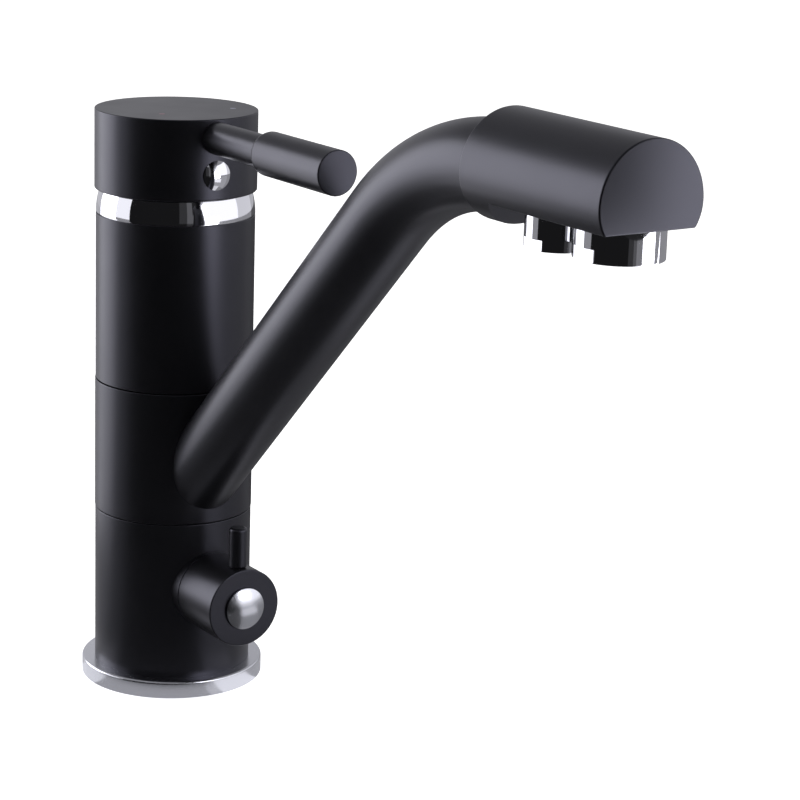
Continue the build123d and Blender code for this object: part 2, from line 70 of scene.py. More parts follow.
def rounded(corners, steps=8, hold=0.12):
    # Corners are (across, along, rounding). A rounding turns the corner into an arc that
    # touches both sides, and each long side gets a point near each end that keeps it flat.
    spots = np.array(corners, float)[:, :2]
    line = []
    for index, (across, along, size) in enumerate(corners):
        spot = spots[index]
        if size == 0:
            line.append(spot)
            continue
        back = unit(spots[index - 1] - spot)
        ahead = unit(spots[index + 1] - spot)
        half = math.acos(np.clip(back @ ahead, -1, 1)) / 2
        centre = spot + unit(back + ahead) * size / math.sin(half)
        first = spot + back * size / math.tan(half) - centre
        last = spot + ahead * size / math.tan(half) - centre
        sweep = math.pi - 2 * half
        share = np.linspace(0, 1, steps + 1)[:, None]
        arc = np.sin((1 - share) * sweep) * first + np.sin(share * sweep) * last
        line.extend(centre + arc / math.sin(sweep))
    line = np.array(line)
    run = [line[:1]]
    for start, end in zip(line[:-1], line[1:]):
        length = np.linalg.norm(end - start)
        if length > 4 * hold:
            step = (end - start) / length * hold
            run.append([start + step, end - step, end])
        else:
            run.append([end])
    return np.vstack(run)


def ballArc(radius, centre, angle):
    # A ball's outline: its radius times cosine and sine, raised by its centre's level.
    return np.stack([radius * np.cos(angle), centre + radius * np.sin(angle)], axis=-1)


def domed(radius, low, top, dome, steps=32):
    # A round plug's profile, closed by a ball's cap that is one dome high: the ball's centre
    # plus the root of its radius squared less the distance from the axis squared.
    ball = (radius ** 2 + dome ** 2) / (2 * dome)
    across = np.linspace(radius, 0, steps)
    along = top - ball + np.sqrt(ball ** 2 - across ** 2)
    return np.vstack([[(0, low), (radius, low)], np.stack([across, along], axis=-1)])


def turned(profile, turns=columnTurns):
    # A profile of (radius, height) carried once round the Z axis.
    angle = circle(turns)
    across, along = profile[:, :1], profile[:, 1:]
    return np.stack([across * np.cos(angle), across * np.sin(angle),
                     along + 0 * angle], axis=-1)


def toFront(grid, level):
    # A shape made along +Z is laid along -Y, the front, at a level above the worktop.
    return np.stack([grid[..., 0], -grid[..., 2], grid[..., 1] + level], axis=-1)


def makePiece(name, grid, finish, body, stands=(), ringed=False):
    # Quads over a grid of points that closes on itself across, and along if ringed.
    rows, columns = grid.shape[:2]
    index = np.arange(rows * columns).reshape(rows, columns)
    index = np.hstack([index, index[:, :1]])
    if ringed:
        index = np.vstack([index, index[:1]])
    quads = np.stack([index[:-1, :-1], index[:-1, 1:], index[1:, 1:], index[1:, :-1]],
                     axis=-1).reshape(-1, 4)
    mesh = bpy.data.meshes.new(name)
    mesh.from_pydata(grid.reshape(-1, 3) * mm, [], quads.tolist())
    shape = bmesh.new()
    shape.from_mesh(mesh)
    bmesh.ops.remove_doubles(shape, verts=shape.verts, dist=weldGap)
    bmesh.ops.recalc_face_normals(shape, faces=shape.faces)
    shape.to_mesh(mesh)
    shape.free()
    mesh.shade_smooth()
    mesh.set_sharp_from_angle(angle=math.radians(creaseAngle))
    mesh.materials.append(finish)
    piece = bpy.data.objects.new(name, mesh)
    bpy.context.scene.collection.objects.link(piece)
    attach(piece, body)
    if stands:
        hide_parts(*stands)
    return piece


def addNode(tree, kind, values={}, links={}):
    # Values go to inputs by name, or to the node's own settings. Links are input: output.
    made = tree.nodes.new(kind)
    for key, value in values.items():
        if key in made.inputs:
            made.inputs[key].default_value = value
        else:
            setattr(made, key, value)
    for key, output in links.items():
        tree.links.new(output, made.inputs[key])
    return made


def newFinish(name):
    # A material with its node tree, its shader, and the place that its patterns read.
    finish = bpy.data.materials.new(name)
    finish.use_nodes = True
    tree = finish.node_tree
    place = addNode(tree, "ShaderNodeTexCoord").outputs["Object"]
    return finish, tree, tree.nodes["Principled BSDF"], place


# Matt black coat: baked paint on cast brass. It looks nearly black where it mirrors the dark
# front of the room, with wide soft highlights of a slight blue, and is grained close by.
mattCoat, tree, shader, place = newFinish("mattBlackCoat")
grain = addNode(tree, "ShaderNodeTexNoise", {"Scale": 2800, "Detail": 3, "Roughness": 0.6},
                {"Vector": place})  # grit of about 0.35 mm
cloud = addNode(tree, "ShaderNodeTexNoise", {"Scale": 90, "Detail": 2},
                {"Vector": place})  # the coat's thickness over about 11 mm
tone = addNode(tree, "ShaderNodeMix", {"data_type": "RGBA", "A": toLinear("#101012"),
                                       "B": toLinear("#141416")},
               {"Factor": cloud.outputs["Fac"]})
sheen = addNode(tree, "ShaderNodeMapRange", {"To Min": 0.31, "To Max": 0.37},
                {"Value": cloud.outputs["Fac"]})
skin = addNode(tree, "ShaderNodeBump", {"Strength": 0.12, "Distance": 0.00002},
               {"Height": grain.outputs["Fac"]})
tree.links.new(tone.outputs["Result"], shader.inputs["Base Color"])
tree.links.new(sheen.outputs["Result"], shader.inputs["Roughness"])
tree.links.new(skin.outputs["Normal"], shader.inputs["Normal"])
shader.inputs["Specular IOR Level"].default_value = 0.58
shader.inputs["Specular Tint"].default_value = (0.83, 0.825, 1.0, 1)
shader.inputs["IOR"].default_value = 1.5

# Polished chrome plate: mirrors the studio in hard white and black bands, with the faint
# waves of a buffed surface.
polishedChrome, tree, shader, place = newFinish("polishedChromePlate")
waves = addNode(tree, "ShaderNodeTexNoise", {"Scale": 160, "Detail": 1},
                {"Vector": place})  # buffing waves of about 6 mm
smear = addNode(tree, "ShaderNodeMapRange", {"To Min": 0.03, "To Max": 0.07},
                {"Value": waves.outputs["Fac"]})
buffed = addNode(tree, "ShaderNodeBump", {"Strength": 0.1, "Distance": 0.00002},
                 {"Height": waves.outputs["Fac"]})
tree.links.new(smear.outputs["Result"], shader.inputs["Roughness"])
tree.links.new(buffed.outputs["Normal"], shader.inputs["Normal"])
shader.inputs["Base Color"].default_value = toLinear("#e4e4e8")
shader.inputs["Metallic"].default_value = 1.0

# Satin chrome plate: blasted under the plating, so the same bands are blurred to a glow.
satinChrome, tree, shader, place = newFinish("satinChromePlate")
blasted = addNode(tree, "ShaderNodeTexNoise", {"Scale": 2500, "Detail": 2},
                  {"Vector": place})  # bead marks of about 0.4 mm
glow = addNode(tree, "ShaderNodeMapRange", {"To Min": 0.2, "To Max": 0.28},
               {"Value": blasted.outputs["Fac"]})
dimples = addNode(tree, "ShaderNodeBump", {"Strength": 0.15, "Distance": 0.00002},
                  {"Height": blasted.outputs["Fac"]})
tree.links.new(glow.outputs["Result"], shader.inputs["Roughness"])
tree.links.new(dimples.outputs["Normal"], shader.inputs["Normal"])
shader.inputs["Base Color"].default_value = toLinear("#d6d7dc")
shader.inputs["Metallic"].default_value = 1.0

# Turned brass of the cartridge's nut and of the valve's headwork and spindle: warm yellow
# with tool lines, drawn coarser than a real cut so that they show.
machinedBrass, tree, shader, place = newFinish("machinedBrass")
lines = addNode(tree, "ShaderNodeTexWave",
                {"wave_type": "RINGS", "rings_direction": "Z", "Scale": 300, "Distortion": 1.5,
                 "Detail": 2}, {"Vector": place})  # rings about 1 mm apart
shade = addNode(tree, "ShaderNodeMix", {"data_type": "RGBA", "A": toLinear("#c8a35a"),
                                        "B": toLinear("#b08a45")},
                {"Factor": lines.outputs["Fac"]})
cut = addNode(tree, "ShaderNodeBump", {"Strength": 0.1, "Distance": 0.00003},
              {"Height": lines.outputs["Fac"]})
tree.links.new(shade.outputs["Result"], shader.inputs["Base Color"])
tree.links.new(cut.outputs["Normal"], shader.inputs["Normal"])
shader.inputs["Metallic"].default_value = 1.0
shader.inputs["Roughness"].default_value = 0.3

# Drawn stainless steel of the cartridge's stem and pivot pin and of the two screws: grey,
# with fine upright marks.
drawnSteel, tree, shader, place = newFinish("drawnStainlessSteel")
along = addNode(tree, "ShaderNodeMapping", {"Scale": (1, 1, 0.05)}, {"Vector": place})
drawn = addNode(tree, "ShaderNodeTexNoise", {"Scale": 3000, "Detail": 2},
                {"Vector": along.outputs["Vector"]})  # draw marks of about 0.3 mm
dull = addNode(tree, "ShaderNodeMapRange", {"To Min": 0.25, "To Max": 0.4},
               {"Value": drawn.outputs["Fac"]})
tree.links.new(dull.outputs["Result"], shader.inputs["Roughness"])
shader.inputs["Base Color"].default_value = toLinear("#a9a9ab")
shader.inputs["Metallic"].default_value = 1.0

# Moulded EPDM seals: dull black with a light bloom.
sealRubber, tree, shader, place = newFinish("mouldedSealRubber")
bloom = addNode(tree, "ShaderNodeTexNoise", {"Scale": 400, "Detail": 3},
                {"Vector": place})  # bloom patches of about 2.5 mm
dust = addNode(tree, "ShaderNodeMix", {"data_type": "RGBA", "A": toLinear("#1a1a1a"),
                                       "B": toLinear("#2a2a2a")},
               {"Factor": bloom.outputs["Fac"]})
tree.links.new(dust.outputs["Result"], shader.inputs["Base Color"])
shader.inputs["Roughness"].default_value = 0.75

# Moulded acetal of the cartridge, glide rings, flow inserts and filtered-water line: milky
# white, half matt.
mouldedAcetal, tree, shader, place = newFinish("mouldedAcetal")
flow = addNode(tree, "ShaderNodeTexNoise", {"Scale": 250, "Detail": 2},
               {"Vector": place})  # flow marks of about 4 mm
milk = addNode(tree, "ShaderNodeMix", {"data_type": "RGBA", "A": toLinear("#dcdcd6"),
                                       "B": toLinear("#e9e9e4")},
               {"Factor": flow.outputs["Fac"]})
tree.links.new(milk.outputs["Result"], shader.inputs["Base Color"])
shader.inputs["Roughness"].default_value = 0.45

# Lapped alumina discs: ivory, dense and smooth, with a faint speckle.
lappedAlumina, tree, shader, place = newFinish("lappedAlumina")
speckle = addNode(tree, "ShaderNodeTexNoise", {"Scale": 1500, "Detail": 4},
                  {"Vector": place})  # grains drawn at 0.7 mm, coarser than real ones
ivory = addNode(tree, "ShaderNodeMix", {"data_type": "RGBA", "A": toLinear("#efe9dc"),
                                        "B": toLinear("#f6f2e8")},
                {"Factor": speckle.outputs["Fac"]})
tree.links.new(ivory.outputs["Result"], shader.inputs["Base Color"])
shader.inputs["Roughness"].default_value = 0.2
print("finishes made")

# The CAD nodes take the finish of their slot.
slotFinish = {
    "black_coat": mattCoat, "chrome_plate": polishedChrome, "brass": machinedBrass,
    "steel": drawnSteel, "seal_rubber": sealRubber, "white_plastic": mouldedAcetal,
    "ceramic": lappedAlumina,
}
for row in frame["record"]["subparts"]:
    node = frame["nodes"][row["node"]]
    finish = slotFinish[row["material_slot"]]
    if not node.data.materials:
        node.data.materials.append(finish)
    for holder in node.material_slots:
        holder.material = finish

# Base ring with the groove for its gasket
baseRing = {"radius": 29.15, "bore": 21.5, "height": 5.55, "edge": 0.8, "foot": 0.2,
            "grooveInner": 23.9, "grooveOuter": 27.5, "grooveDepth": 1.5}
d = baseRing
makePiece("baseRing", turned(rounded([
    (d["bore"], 0, 0), (d["grooveInner"], 0, 0), (d["grooveInner"], d["grooveDepth"], 0),
    (d["grooveOuter"], d["grooveDepth"], 0), (d["grooveOuter"], 0, 0),
    (d["radius"], 0, d["foot"]), (d["radius"], d["height"], d["edge"]),
    (d["bore"], d["height"], 0)])), satinChrome, "body", ["base_ring"],
    ringed=True)

# Coat on the lower column: a skin over the casting, and over the boss of the valve
lowerColumn = {"radius": 25.0, "bore": 22.1, "low": 5.57, "high": 56.3, "edge": 0.25,
               "coat": 0.02, "depth": 0.5}
d = lowerColumn
outer = d["radius"] + d["coat"]
inner = outer - d["depth"]
top = d["high"] + d["coat"]
under = d["high"] - d["depth"]
makePiece("lowerColumnCoat", turned(rounded([
    (inner, d["low"], 0), (outer, d["low"], 0), (outer, top, d["edge"]), (d["bore"], top, 0),
    (d["bore"], under, 0), (inner, under, 0)])), mattCoat, "body", ringed=True)
valveBoss = {"radius": 12.37, "bore": 7.6, "start": 20.0, "end": 25.6, "level": 34.3,
             "edge": 0.15, "coat": 0.02, "depth": 0.5}
d = valveBoss
outer = d["radius"] + d["coat"]
inner = outer - d["depth"]
top = d["end"] + d["coat"]
under = d["end"] - d["depth"]
makePiece("valveBossCoat", toFront(turned(rounded([
    (inner, d["start"], 0), (outer, d["start"], 0), (outer, top, d["edge"]),
    (d["bore"], top, 0), (d["bore"], under, 0), (inner, under, 0)])), d["level"]),
    mattCoat, "body", ringed=True)

# Upper column, a shell over the pillar and the cartridge
upperColumn = {"radius": 25.0, "low": 98.9, "high": 151.85, "edge": 0.25,
               "pillar": 18.0, "cartridge": 20.05, "nut": 22.2, "seat": 125.25,
               "shoulder": 146.0}
d = upperColumn
makePiece("upperColumn", turned(rounded([
    (d["pillar"], d["low"], 0), (d["radius"], d["low"], d["edge"]),
    (d["radius"], d["high"], d["edge"]), (d["nut"], d["high"], 0),
    (d["nut"], d["shoulder"], 0), (d["cartridge"], d["shoulder"], 0),
    (d["cartridge"], d["seat"], 0), (d["pillar"], d["seat"], 0)])),
    mattCoat, "body", ["upper_body"], ringed=True)

# Swivel sleeve, bored wider at each end for its glide rings
swivelSleeve = {"radius": 25.15, "bore": 18.3, "low": 56.6, "high": 98.6, "edge": 0.25,
                "bush": 20.0, "bushDepth": 3.3}
d = swivelSleeve
bushTop = d["high"] - d["bushDepth"]
bushFoot = d["low"] + d["bushDepth"]
makePiece("swivelSleeve", turned(rounded([
    (d["bush"], d["low"], 0), (d["radius"], d["low"], d["edge"]),
    (d["radius"], d["high"], d["edge"]), (d["bush"], d["high"], 0), (d["bush"], bushTop, 0),
    (d["bore"], bushTop, 0), (d["bore"], bushFoot, 0), (d["bush"], bushFoot, 0)])),
    mattCoat, "spout", ["swivel_sleeve"], ringed=True)
print("column made")

# Dome ring: a ball zone above a fine groove, hollowed by a smaller ball
domeRing = {"radius": 25.0, "inner": 23.0, "centre": upperColumn["high"], "bore": 18.5,
            "grooveRadius": 24.4, "groove": 0.45, "neck": 157.0, "outerSteps": 40,
            "innerSteps": 16}
d = domeRing
outerAngle = np.linspace(math.asin(d["groove"] / d["radius"]),
                         math.acos(d["bore"] / d["radius"]), d["outerSteps"])
innerAngle = np.linspace(math.acos(d["bore"] / d["inner"]),
                         math.asin((d["neck"] - d["centre"]) / d["inner"]), d["innerSteps"])
zone = np.vstack([
    [(d["bore"], d["centre"]), (d["grooveRadius"], d["centre"]),
     (d["grooveRadius"], d["centre"] + d["groove"])],
    ballArc(d["radius"], d["centre"], outerAngle), ballArc(d["inner"], d["centre"], innerAngle),
    [(d["bore"], d["neck"])]])
makePiece("domeRing", turned(zone), polishedChrome, "body", ["dome_ring"],
          ringed=True)

# Handle cap: a drum over a ball hollow, with a hub inside. Points of the wall near the index
# plug's axis are pushed in to the plug's seat.
handleCap = {"radius": 25.45, "low": 159.5, "high": 184.6, "edge": 0.35, "skirt": 0.5,
             "hollow": 25.4, "centre": domeRing["centre"], "hub": 9.0, "hubLow": 163.0,
             "plugLevel": 167.3, "seatRadius": 4.1, "seatReach": 23.25, "wallDepth": 0.1,
             "margin": 1.0, "wallSteps": 64, "hollowSteps": 30, "turns": 384}
d = handleCap
lip = math.sqrt(d["hollow"] ** 2 - (d["low"] - d["centre"]) ** 2)
outside = rounded([(0, d["high"], 0), (d["radius"], d["high"], d["edge"]),
                   (d["radius"], d["low"], d["skirt"]), (lip, d["low"], 0)])
wallTop = d["high"] - d["margin"]
wallFoot = d["low"] + d["margin"]
wall = np.linspace(wallTop, wallFoot, d["wallSteps"])
hollowAngle = np.linspace(math.acos(lip / d["hollow"]), math.acos(d["hub"] / d["hollow"]),
                          d["hollowSteps"])
drum = np.vstack([outside[outside[:, 1] > wallTop],
                  np.stack([np.full_like(wall, d["radius"]), wall], axis=-1),
                  outside[outside[:, 1] < wallFoot],
                  ballArc(d["hollow"], d["centre"], hollowAngle),
                  [(d["hub"], d["hubLow"]), (0, d["hubLow"])]])
grid = turned(drum, d["turns"])
away = np.hypot(grid[..., 0], grid[..., 2] - d["plugLevel"])
dent = (away < d["seatRadius"]) & (grid[..., 1] < -d["hub"]) & (
    np.hypot(grid[..., 0], grid[..., 1]) > d["radius"] - d["wallDepth"])
grid[..., 1] = np.where(dent, -d["seatReach"], grid[..., 1])
makePiece("handleCap", grid, mattCoat, "lever", ["handle_cap"])

# Hot and cold marks, two dots of baked ink that stand just proud of the cap's top. Each
# colour is broken by a worn grey.
marks = {"hotMark": {"x": -10.35, "y": -9.32, "colour": "#b57f8b"},
         "coldMark": {"x": 15.82, "y": -7.58, "colour": "#c3c9de"}}
markShape = {"radius": 0.95, "height": 0.03, "edge": 0.02, "edgeSteps": 3, "turns": 48,
             "worn": "#75707c"}
d = markShape
top = handleCap["high"] + d["height"]
under = handleCap["high"] - d["height"]
for name, own in marks.items():
    ink, tree, shader, place = newFinish(name + "Ink")
    screen = addNode(tree, "ShaderNodeTexNoise", {"Scale": 3000, "Detail": 1},
                     {"Vector": place})  # ink grain of about 0.3 mm
    worn = addNode(tree, "ShaderNodeMix", {"data_type": "RGBA", "A": toLinear(d["worn"]),
                                           "B": toLinear(own["colour"])},
                   {"Factor": screen.outputs["Fac"]})
    tree.links.new(worn.outputs["Result"], shader.inputs["Base Color"])
    shader.inputs["Roughness"].default_value = 0.5
    dot = turned(rounded([(0, under, 0), (d["radius"], under, 0),
                          (d["radius"], top, d["edge"]), (0, top, 0)],
                         steps=d["edgeSteps"]), d["turns"])
    makePiece(name, dot + np.array([own["x"], own["y"], 0]), ink, "lever")

# Lever rod and its thicker grip, with a rounded shoulder where the grip starts
lever = {"level": 178.75, "radius": 5.0, "seat": 16.0, "gripStart": 55.3, "gripEnd": 93.2,
         "gripRadius": 6.7, "shoulder": 1.68, "edge": 0.3, "overlap": 0.4}
d = lever
rodEnd = d["gripStart"] + d["overlap"]
makePiece("leverRod", toFront(turned(rounded([
    (0, d["seat"], 0), (d["radius"], d["seat"], 0), (d["radius"], rodEnd, 0),
    (0, rodEnd, 0)]), smallTurns), d["level"]), mattCoat, "lever",
    ["lever_rod"])
makePiece("leverGrip", toFront(turned(rounded([
    (0, d["gripStart"], 0), (d["gripRadius"], d["gripStart"], d["shoulder"]),
    (d["gripRadius"], d["gripEnd"], d["edge"]), (0, d["gripEnd"], 0)]), smallTurns),
    d["level"]), mattCoat, "lever", ["lever_grip"])

# Index plug: a chrome dome in the front of the cap
indexPlug = {"radius": 4.6, "top": 26.75, "dome": 1.3}
d = indexPlug
plug = domed(d["radius"], handleCap["seatReach"], d["top"], d["dome"])
makePiece("indexPlug", toFront(turned(plug, smallTurns), handleCap["plugLevel"]),
          polishedChrome, "lever", ["index_plug"])
print("handle made")

# Spout tube: a round wall along a straight rise, a bend and a level end. The foot of each
# line along the wall stops where it meets the seat, a cylinder inside the sleeve.
spoutTube = {"radius": 12.4, "wall": 1.5, "root": 53.97, "rise": 44.2, "seat": 21.0,
             "bend": 78.0, "headLevel": 193.1, "socket": 5.4, "riseSteps": 24,
             "bendSteps": 48, "turns": 144}
d = spoutTube
riseAngle = math.radians(d["rise"])
corner = (d["headLevel"] - d["root"]) / math.tan(riseAngle)
bendRun = d["bend"] * math.tan(riseAngle / 2)
headBack = corner + bendRun


def tubeWall(radius):
    # Each station has a reach, a level and a tilt: up the straight rise, round the bend and
    # into the head. Its circle of points stands square to the tilt.
    d = spoutTube
    around = circle(d["turns"])
    across = radius * np.cos(around)
    above = radius * np.sin(around)
    foot = (np.sqrt(d["seat"] ** 2 - across ** 2) + above * math.sin(riseAngle)) / math.cos(
        riseAngle)
    bendStart = corner / math.cos(riseAngle) - bendRun
    straight = foot + (bendStart - foot) * np.linspace(0, 1, d["riseSteps"])[:, None]
    turn = np.linspace(riseAngle, 0, d["bendSteps"])[1:, None] + 0 * around
    end = np.full((1, d["turns"]), headBack + d["socket"])
    reach = np.vstack([straight * math.cos(riseAngle), headBack - d["bend"] * np.sin(turn),
                       end])
    level = np.vstack([d["root"] + straight * math.sin(riseAngle),
                       d["headLevel"] - d["bend"] * (1 - np.cos(turn)),
                       np.full_like(end, d["headLevel"])])
    tilt = np.vstack([np.full_like(straight, riseAngle), turn, np.zeros_like(end)])
    return np.stack([across + 0 * reach, -(reach - above * np.sin(tilt)),
                     level + above * np.cos(tilt)], axis=-1)


outerWall = tubeWall(d["radius"])
innerWall = tubeWall(d["radius"] - d["wall"])
makePiece("spoutTube", np.vstack([outerWall, innerWall[::-1]]), mattCoat,
          "spout", ["spout_tube"], ringed=True)

# Spout head: round above and a little shallower below, cut level under its front part.
# Behind the cut the outline is whole. Each line along the belly stops where it meets the
# sloped end of the cut, and in front of that its points lie on the flat. The margin and the
# rim place rings of points close to the edges, which keep the faces beside them flat.
spoutHead = {"length": 57.7, "radius": 16.15, "belly": 13.8, "level": spoutTube["headLevel"],
             "socket": spoutTube["radius"], "flat": 6.8, "flatStart": 10.4, "ramp": 5.5,
             "flatEdge": 0.8, "edge": 0.35, "edgeSteps": 5, "margin": 0.6, "rim": 0.1,
             "flatSteps": 12, "turns": 288}
arcSearch = {"from": 0.1, "to": 1.2, "tries": 4000}
d = spoutHead
headEnd = headBack + d["length"]
around = circle(d["turns"])


def headRing(reach, inset, cut):
    # A half circle above and a half ellipse below, inset from their edge. The cut ring is
    # level below, with an arc between the flat and the ellipse that touches both: its
    # centre is found by trying points of the ellipse, moved in by the arc's radius.
    d = spoutHead
    radius = d["radius"] - inset
    belly = d["belly"] - inset
    across = radius * np.cos(around)
    above = np.where(np.sin(around) > 0, radius, belly) * np.sin(around)
    if cut:
        soft = d["flatEdge"]
        floor = inset - d["flat"]
        along = np.linspace(arcSearch["from"], arcSearch["to"], arcSearch["tries"])
        touch = np.stack([radius * np.cos(along), -belly * np.sin(along)])
        outward = np.stack([np.cos(along) / radius, -np.sin(along) / belly])
        middle = touch - soft * outward / np.hypot(*outward)
        best = np.argmin(np.abs(middle[1] - floor - soft))
        step = np.clip(np.abs(across) - middle[0, best], 0, soft)
        arc = floor + soft - np.sqrt(soft ** 2 - step ** 2)
        under = (np.sin(around) < 0) & (np.abs(across) < touch[0, best])
        above = np.where(under, arc, above)
    return np.stack([across, 0 * around - reach, above + d["level"]], axis=-1)


socketRing = np.stack([d["socket"] * np.cos(around), 0 * around,
                       d["level"] + d["socket"] * np.sin(around)], axis=-1)
socketFloor = headBack + spoutTube["socket"]
backPoint = np.array([0, -socketFloor, d["level"]]) + 0 * socketRing
frontPoint = np.array([0, -headEnd, d["level"]]) + 0 * socketRing
quarter = np.linspace(0, math.pi / 2, d["edgeSteps"])
edgeInset = d["edge"] * (1 - np.cos(quarter))
edgeRun = d["edge"] * (1 - np.sin(quarter))
depth = -d["belly"] * np.sin(around) - d["flat"]
rampStart = d["flatStart"] - d["ramp"] * np.clip(depth / (d["belly"] - d["flat"]), 0, 1)
flatRuns = np.linspace(d["flatStart"] + d["rim"], d["length"] - d["margin"], d["flatSteps"])
stations = [backPoint, socketRing - [0, socketFloor, 0], socketRing - [0, headBack, 0]]
stations += [headRing(headBack + run, inset, False)
             for run, inset in zip(edgeRun[::-1], edgeInset[::-1])]
stations += [headRing(headBack + d["margin"] + (rampStart - d["margin"]) * share, 0, False)
             for share in (0, 0.5, 1)]
stations += [headRing(headBack + d["flatStart"], 0, True)]
stations += [headRing(headBack + run, 0, True) for run in flatRuns]
stations += [headRing(headEnd - run, inset, True) for run, inset in zip(edgeRun, edgeInset)]
stations += [headRing(headEnd, d["edge"] + d["rim"], True), frontPoint]
makePiece("spoutHead", np.array(stations), mattCoat, "spout", ["spout_head"])
print("spout made")

# Outlets: turned housings with two wrench flats near the mouth, hollow for the insert
outlets = {
    "mainOutlet": {"node": "main_outlet", "setback": 11.75, "radius": 11.57, "reach": 8.25,
                   "flats": 10.9, "flatsHeight": 3.45},
    "filterOutlet": {"node": "filter_outlet", "setback": 36.25, "radius": 8.7,
                     "reach": 10.1, "flats": 7.85, "flatsHeight": 2.9},
}
outletShape = {"wall": 1.9, "thread": 0.75, "threadHeight": 4.6, "insertLow": 2.0,
               "insertTop": 6.3, "edge": 0.3, "lip": 0.25, "near": 0.01, "turns": 288}
d = outletShape
top = spoutHead["level"] - spoutHead["flat"]
threadTop = top + d["threadHeight"]
for name, own in outlets.items():
    low = top - own["reach"]
    bore = own["radius"] - d["wall"]
    outerThread = own["radius"] - d["thread"]
    innerThread = bore - d["thread"]
    ledge = low + own["flatsHeight"]
    profile = rounded([
        (bore, low, d["lip"]), (own["radius"], low, d["edge"]), (own["radius"], ledge, 0),
        (own["radius"], top, 0), (outerThread, top, 0), (outerThread, threadTop, 0),
        (innerThread, threadTop, 0), (innerThread, low + d["insertTop"], 0),
        (bore, low + d["insertTop"], 0), (bore, low + d["insertLow"], 0)])
    # The ring of points on the ledge is doubled, and all below it is clipped to the flats.
    grid = turned(profile, d["turns"])
    inside = profile[:, 0] < own["radius"] - d["near"]
    cutAt = np.argmin(np.abs(profile[:, 1] - ledge) + inside)
    doubled = np.vstack([grid[:cutAt + 1], grid[cutAt:]])
    belowLedge = np.arange(len(doubled))[:, None] <= cutAt
    clipped = np.clip(doubled[..., 0], -own["flats"], own["flats"])
    doubled[..., 0] = np.where(belowLedge, clipped, doubled[..., 0])
    reachOut = headEnd - own["setback"]
    makePiece(name, doubled + np.array([0, -reachOut, 0]), polishedChrome,
              "spout", [own["node"]], ringed=True)
print("outlets made")

# Valve knob, its pin, and the satin button in its face
valveKnob = {"radius": valveBoss["radius"], "low": 25.9, "end": 45.7, "edge": 0.35,
             "softEdge": 0.15, "cavity": 10.2, "cavityEnd": 34.4, "button": 6.65, "web": 41.2,
             "level": valveBoss["level"]}
d = valveKnob
makePiece("valveKnob", toFront(turned(rounded([
    (0, d["cavityEnd"], 0), (d["cavity"], d["cavityEnd"], 0), (d["cavity"], d["low"], 0),
    (d["radius"], d["low"], d["softEdge"]), (d["radius"], d["end"], d["edge"]),
    (d["button"], d["end"], d["softEdge"]), (d["button"], d["web"], 0), (0, d["web"], 0)])),
    d["level"]), mattCoat, "filter_handle", ["valve_knob"])
valvePin = {"radius": 2.85, "reach": 41.4, "foot": 46.42, "high": 59.47, "edge": 0.9,
            "shank": 1.5, "low": 42.22, "turns": 96}
d = valvePin
makePiece("valvePin", turned(rounded([
    (0, d["low"], 0), (d["shank"], d["low"], 0), (d["shank"], d["foot"], 0),
    (d["radius"], d["foot"], d["edge"]), (d["radius"], d["high"], d["edge"]),
    (0, d["high"], 0)]), d["turns"]) - np.array([0, d["reach"], 0]), mattCoat,
    "filter_handle", ["valve_pin"])
valveButton = {"radius": 6.6, "low": 43.3, "face": 46.6, "dome": 1.7}
d = valveButton
button = domed(d["radius"], d["low"], d["face"] + d["dome"], d["dome"])
makePiece("valveButton", toFront(turned(button, smallTurns), valveKnob["level"]),
          satinChrome, "filter_handle", ["valve_button"])
print("valve made")


def addRays(tree, low, high):
    # A strength that is high for camera, glossy and transmission rays, and low for others.
    rays = addNode(tree, "ShaderNodeLightPath")
    seen = addNode(tree, "ShaderNodeMath", {"operation": "MAXIMUM"})
    tree.links.new(rays.outputs["Is Camera Ray"], seen.inputs[0])
    tree.links.new(rays.outputs["Is Glossy Ray"], seen.inputs[1])
    shown = addNode(tree, "ShaderNodeMath", {"operation": "MAXIMUM"})
    tree.links.new(seen.outputs["Value"], shown.inputs[0])
    tree.links.new(rays.outputs["Is Transmission Ray"], shown.inputs[1])
    return addNode(tree, "ShaderNodeMapRange", {"To Min": low, "To Max": high},
                   {"Value": shown.outputs["Value"]}).outputs["Result"]


def addSheet(name, corners, quads, finish):
    # A sheet of flat faces through corners given in metres. It isn't part of the tap.
    mesh = bpy.data.meshes.new(name)
    mesh.from_pydata(corners, [], quads)
    mesh.materials.append(finish)
    sheet = bpy.data.objects.new(name, mesh)
    bpy.context.scene.collection.objects.link(sheet)
    return sheet


def addGlow(name, corners, quads, level):
    # A sheet with a plain glow, which only reflections see.
    glow = bpy.data.materials.new(name)
    glow.use_nodes = True
    glow.cycles.emission_sampling = "NONE"
    tree = glow.node_tree
    tree.nodes.remove(tree.nodes["Principled BSDF"])
    light = addNode(tree, "ShaderNodeEmission",
                    {"Color": studio["sheetColour"], "Strength": level})
    tree.links.new(light.outputs["Emission"], tree.nodes["Material Output"].inputs["Surface"])
    sheet = addSheet(name, corners, quads, glow)
    sheet.visible_camera = sheet.visible_diffuse = sheet.visible_shadow = False


def addArc(name, fromAngle, toAngle, near, far, level, steps=12):
    # A band of quads from angle to angle about Z, between two (radius, height) lines.
    turn = np.radians(np.linspace(fromAngle, toAngle, steps + 1))
    lines = [np.stack([radius * np.cos(turn), radius * np.sin(turn), 0 * turn + height],
                      axis=-1) for radius, height in (near, far)]
    quads = [(index, index + 1, index + steps + 2, index + steps + 1)
             for index in range(steps)]
    addGlow(name, np.vstack(lines).tolist(), quads, level)


